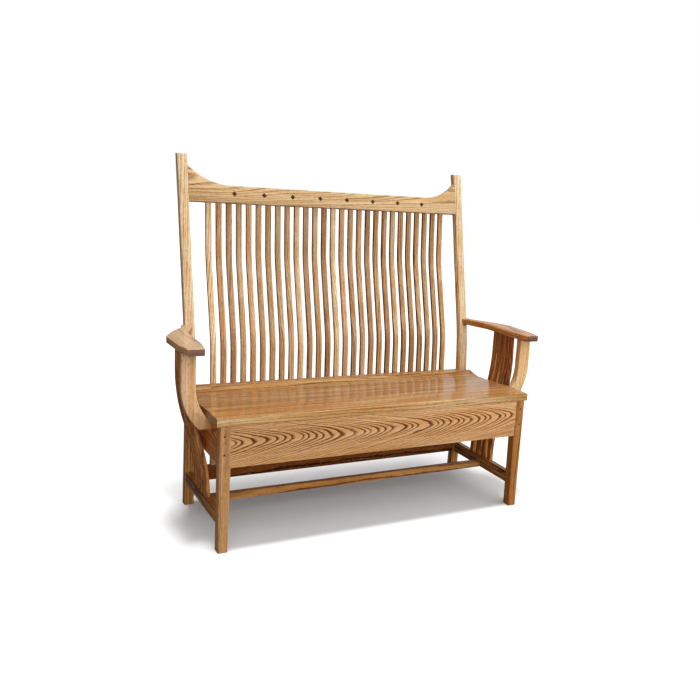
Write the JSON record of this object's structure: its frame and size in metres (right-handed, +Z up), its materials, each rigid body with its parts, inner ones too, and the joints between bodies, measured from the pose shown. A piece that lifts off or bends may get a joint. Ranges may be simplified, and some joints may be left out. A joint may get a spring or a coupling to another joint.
{
  "type": "settle",
  "caption": "High-back oak bench with bent vertical back slats, a scooped seat, paddle arms on bowed supports and diamond inlays in the crest rail.",
  "frame": {"origin": "on the floor, at the middle of the bench's outline", "axes": "+X along the bench to its right arm as seen from the front, +Y from the front to the back, +Z up"},
  "size_m": [1.3856, 0.622, 1.264],
  "materials": {
    "oak": "solid oak, flat and quarter sawn, under glossy clear varnish",
    "walnut": "dark walnut under the same varnish",
    "steel": "zinc-plated wood screws"
  },
  "bodies": {
    "root": {"front_leg_left": "oak", "front_leg_right": "oak", "back_post_left": "oak", "back_post_right": "oak", "front_apron": "oak", "side_apron_left": "oak", "side_apron_right": "oak", "back_apron": "oak", "seat_board_front": "oak", "seat_board_middle": "oak", "seat_board_back": "oak", "crest_rail": "oak", "back_slat_01": "oak", "back_slat_02": "oak", "back_slat_03": "oak", "back_slat_04": "oak", "back_slat_05": "oak", "back_slat_06": "oak", "back_slat_07": "oak", "back_slat_08": "oak", "back_slat_09": "oak", "back_slat_10": "oak", "back_slat_11": "oak", "back_slat_12": "oak", "back_slat_13": "oak", "back_slat_14": "oak", "back_slat_15": "oak", "back_slat_16": "oak", "back_slat_17": "oak", "back_slat_18": "oak", "back_slat_19": "oak", "back_slat_20": "oak", "back_slat_21": "oak", "back_slat_22": "oak", "back_slat_23": "oak", "back_slat_24": "oak", "back_slat_25": "oak", "back_slat_26": "oak", "back_slat_27": "oak", "arm_left": "oak", "arm_right": "oak", "arm_support_left": "oak", "arm_support_right": "oak", "side_slat_left_1": "oak", "side_slat_left_2": "oak", "side_slat_left_3": "oak", "side_slat_left_4": "oak", "side_slat_right_1": "oak", "side_slat_right_2": "oak", "side_slat_right_3": "oak", "side_slat_right_4": "oak", "side_stretcher_left": "oak", "side_stretcher_right": "oak", "centre_stretcher": "oak", "back_stretcher": "oak", "corner_blocks": "oak", "crest_inlays": "walnut", "leg_pegs": "walnut", "wood_screws": "steel"}
  },
  "joints": []
}
